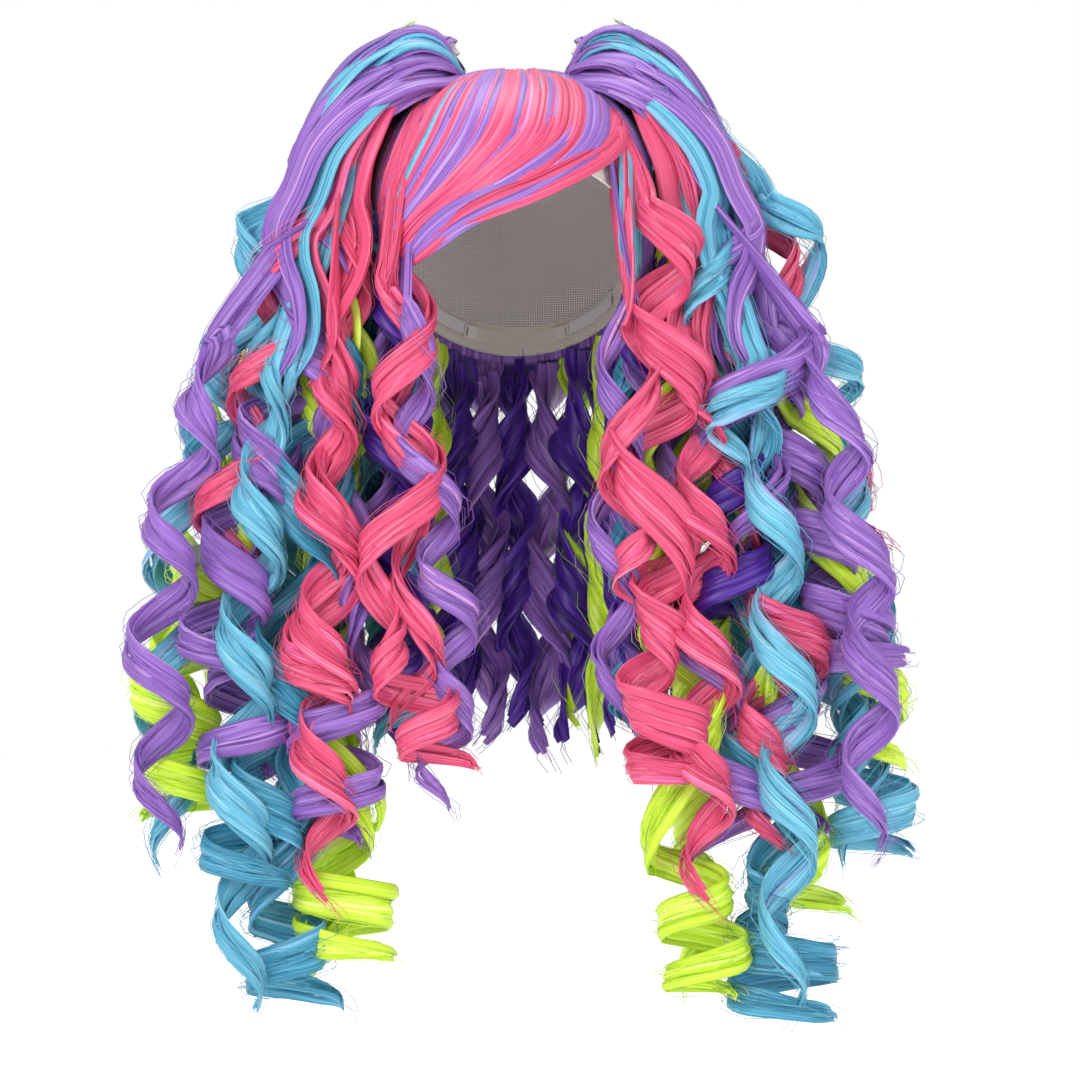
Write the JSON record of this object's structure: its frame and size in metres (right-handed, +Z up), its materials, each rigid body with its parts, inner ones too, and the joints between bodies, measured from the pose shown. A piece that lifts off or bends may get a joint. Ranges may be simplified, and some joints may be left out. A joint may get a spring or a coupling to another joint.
{
  "type": "costume wig",
  "caption": "Curly costume wig on an adjustable netted cap, with clip-on ponytails of spiral ringlets held by spring claw clips.",
  "frame": {"origin": "inside of the cap's crown, where the top of the wearer's head bears", "axes": "+Z up, -Y towards the face, +X towards the wearer's left"},
  "size_m": [0.4668, 0.2262, 0.598],
  "materials": {
    "net": "stretch wig net, off-white",
    "band": "woven cotton tape, cream",
    "scalp": "fine tulle parting patch",
    "weft": "machine-sewn fibre weft",
    "stay": "thin bendable strip",
    "strap": "knitted elastic",
    "hook": "moulded nylon",
    "claw": "moulded black ABS",
    "pin": "drawn wire",
    "tail_base": "stiffened net, cream",
    "hair_lavender": "glossy synthetic fibre, lavender",
    "hair_pink": "glossy synthetic fibre, hot pink",
    "hair_blue": "glossy synthetic fibre, sky blue",
    "hair_teal": "glossy synthetic fibre, teal",
    "hair_yellow": "glossy synthetic fibre, neon yellow",
    "hair_purple": "glossy synthetic fibre, deep purple"
  },
  "bodies": {
    "cap": {"crown_net": "net", "front_band": "band", "nape_band": "band", "scalp_patch": "scalp", "weft_row_1": "weft", "weft_row_2": "weft", "weft_row_3": "weft", "weft_row_4": "weft", "weft_row_5": "weft", "weft_row_6": "weft", "left_ear_tab": "band", "left_ear_stay": "stay", "left_loop_tape": "strap", "left_strap": "strap", "right_ear_tab": "band", "right_ear_stay": "stay", "right_loop_tape": "strap", "right_strap": "strap", "crown_hair": "hair_lavender", "fringe": "hair_lavender", "left_temple_hair": "hair_blue", "left_face_lock_pink": "hair_pink", "left_face_lock_lavender": "hair_lavender", "left_neck_lock_purple": "hair_purple", "left_side_lock_teal": "hair_teal", "right_face_lock_pink": "hair_pink", "right_face_lock_lavender": "hair_lavender", "right_neck_lock_purple": "hair_purple", "right_side_lock_teal": "hair_teal", "back_locks_lavender": "hair_lavender", "back_locks_purple": "hair_purple", "back_locks_yellow": "hair_yellow", "left_grip_tuft": "hair_lavender", "right_grip_tuft": "hair_lavender"},
    "left_ponytail": {"left_tail_base": "tail_base", "left_tail_weft_coil": "weft", "left_claw_pin": "pin", "left_claw_spring": "pin"},
    "left_tail": {"left_tail_arch": "hair_lavender", "left_tail_lavender_locks": "hair_lavender", "left_tail_sky_locks": "hair_blue", "left_tail_pink_locks": "hair_pink", "left_tail_yellow_locks": "hair_yellow"},
    "left_front_jaw": {"left_claw_front_jaw": "claw"},
    "left_rear_jaw": {"left_claw_rear_jaw": "claw"},
    "left_hook": {"left_strap_hook": "hook"},
    "right_ponytail": {"right_tail_base": "tail_base", "right_tail_weft_coil": "weft", "right_claw_pin": "pin", "right_claw_spring": "pin"},
    "right_tail": {"right_tail_arch": "hair_lavender", "right_tail_lavender_locks": "hair_lavender", "right_tail_sky_locks": "hair_blue", "right_tail_pink_locks": "hair_pink", "right_tail_yellow_locks": "hair_yellow"},
    "right_front_jaw": {"right_claw_front_jaw": "claw"},
    "right_rear_jaw": {"right_claw_rear_jaw": "claw"},
    "right_hook": {"right_strap_hook": "hook"}
  },
  "joints": [
    {"name": "left_ponytail_lift", "type": "slide", "parent": "cap", "child": "left_ponytail", "axis": [0.5736, 0, 0.8192], "range_m": [0, 0.07]},
    {"name": "left_tail_swing", "type": "hinge", "parent": "left_ponytail", "child": "left_tail", "pos_m": [0.06068, 0, 0.03278], "axis": [0, -1, 0], "range_deg": [0, 35]},
    {"name": "left_front_jaw_open", "type": "hinge", "parent": "left_ponytail", "child": "left_front_jaw", "pos_m": [0.06028, 0, 0.00779], "axis": [-0.8192, 0, 0.5736], "range_deg": [0, 20], "stiffness_Nm_per_rad": 0.06, "springref_deg": -28.65, "deforming": ["left_claw_spring"]},
    {"name": "left_rear_jaw_open", "type": "hinge", "parent": "left_ponytail", "child": "left_rear_jaw", "pos_m": [0.06028, 0, 0.00779], "axis": [0.8192, 0, -0.5736], "range_deg": [0, 20], "stiffness_Nm_per_rad": 0.06, "springref_deg": -28.65},
    {"name": "left_hook_slide", "type": "slide", "parent": "cap", "child": "left_hook", "axis": [-0.8926, 0.3902, -0.2259], "range_m": [0, 0.012]},
    {"name": "right_ponytail_lift", "type": "slide", "parent": "cap", "child": "right_ponytail", "axis": [-0.5736, 0, 0.8192], "range_m": [0, 0.07]},
    {"name": "right_tail_swing", "type": "hinge", "parent": "right_ponytail", "child": "right_tail", "pos_m": [-0.06068, 0, 0.03278], "axis": [0, 1, 0], "range_deg": [0, 35]},
    {"name": "right_front_jaw_open", "type": "hinge", "parent": "right_ponytail", "child": "right_front_jaw", "pos_m": [-0.06028, 0, 0.00779], "axis": [-0.8192, 0, -0.5736], "range_deg": [0, 20], "stiffness_Nm_per_rad": 0.06, "springref_deg": -28.65, "deforming": ["right_claw_spring"]},
    {"name": "right_rear_jaw_open", "type": "hinge", "parent": "right_ponytail", "child": "right_rear_jaw", "pos_m": [-0.06028, 0, 0.00779], "axis": [0.8192, 0, 0.5736], "range_deg": [0, 20], "stiffness_Nm_per_rad": 0.06, "springref_deg": -28.65},
    {"name": "right_hook_slide", "type": "slide", "parent": "cap", "child": "right_hook", "axis": [0.8926, 0.3902, -0.2259], "range_m": [0, 0.012]}
  ],
  "couplings": [
    {"joint": "left_rear_jaw_open", "follows": "left_front_jaw_open", "ratio": 1},
    {"joint": "right_rear_jaw_open", "follows": "right_front_jaw_open", "ratio": 1}
  ]
}
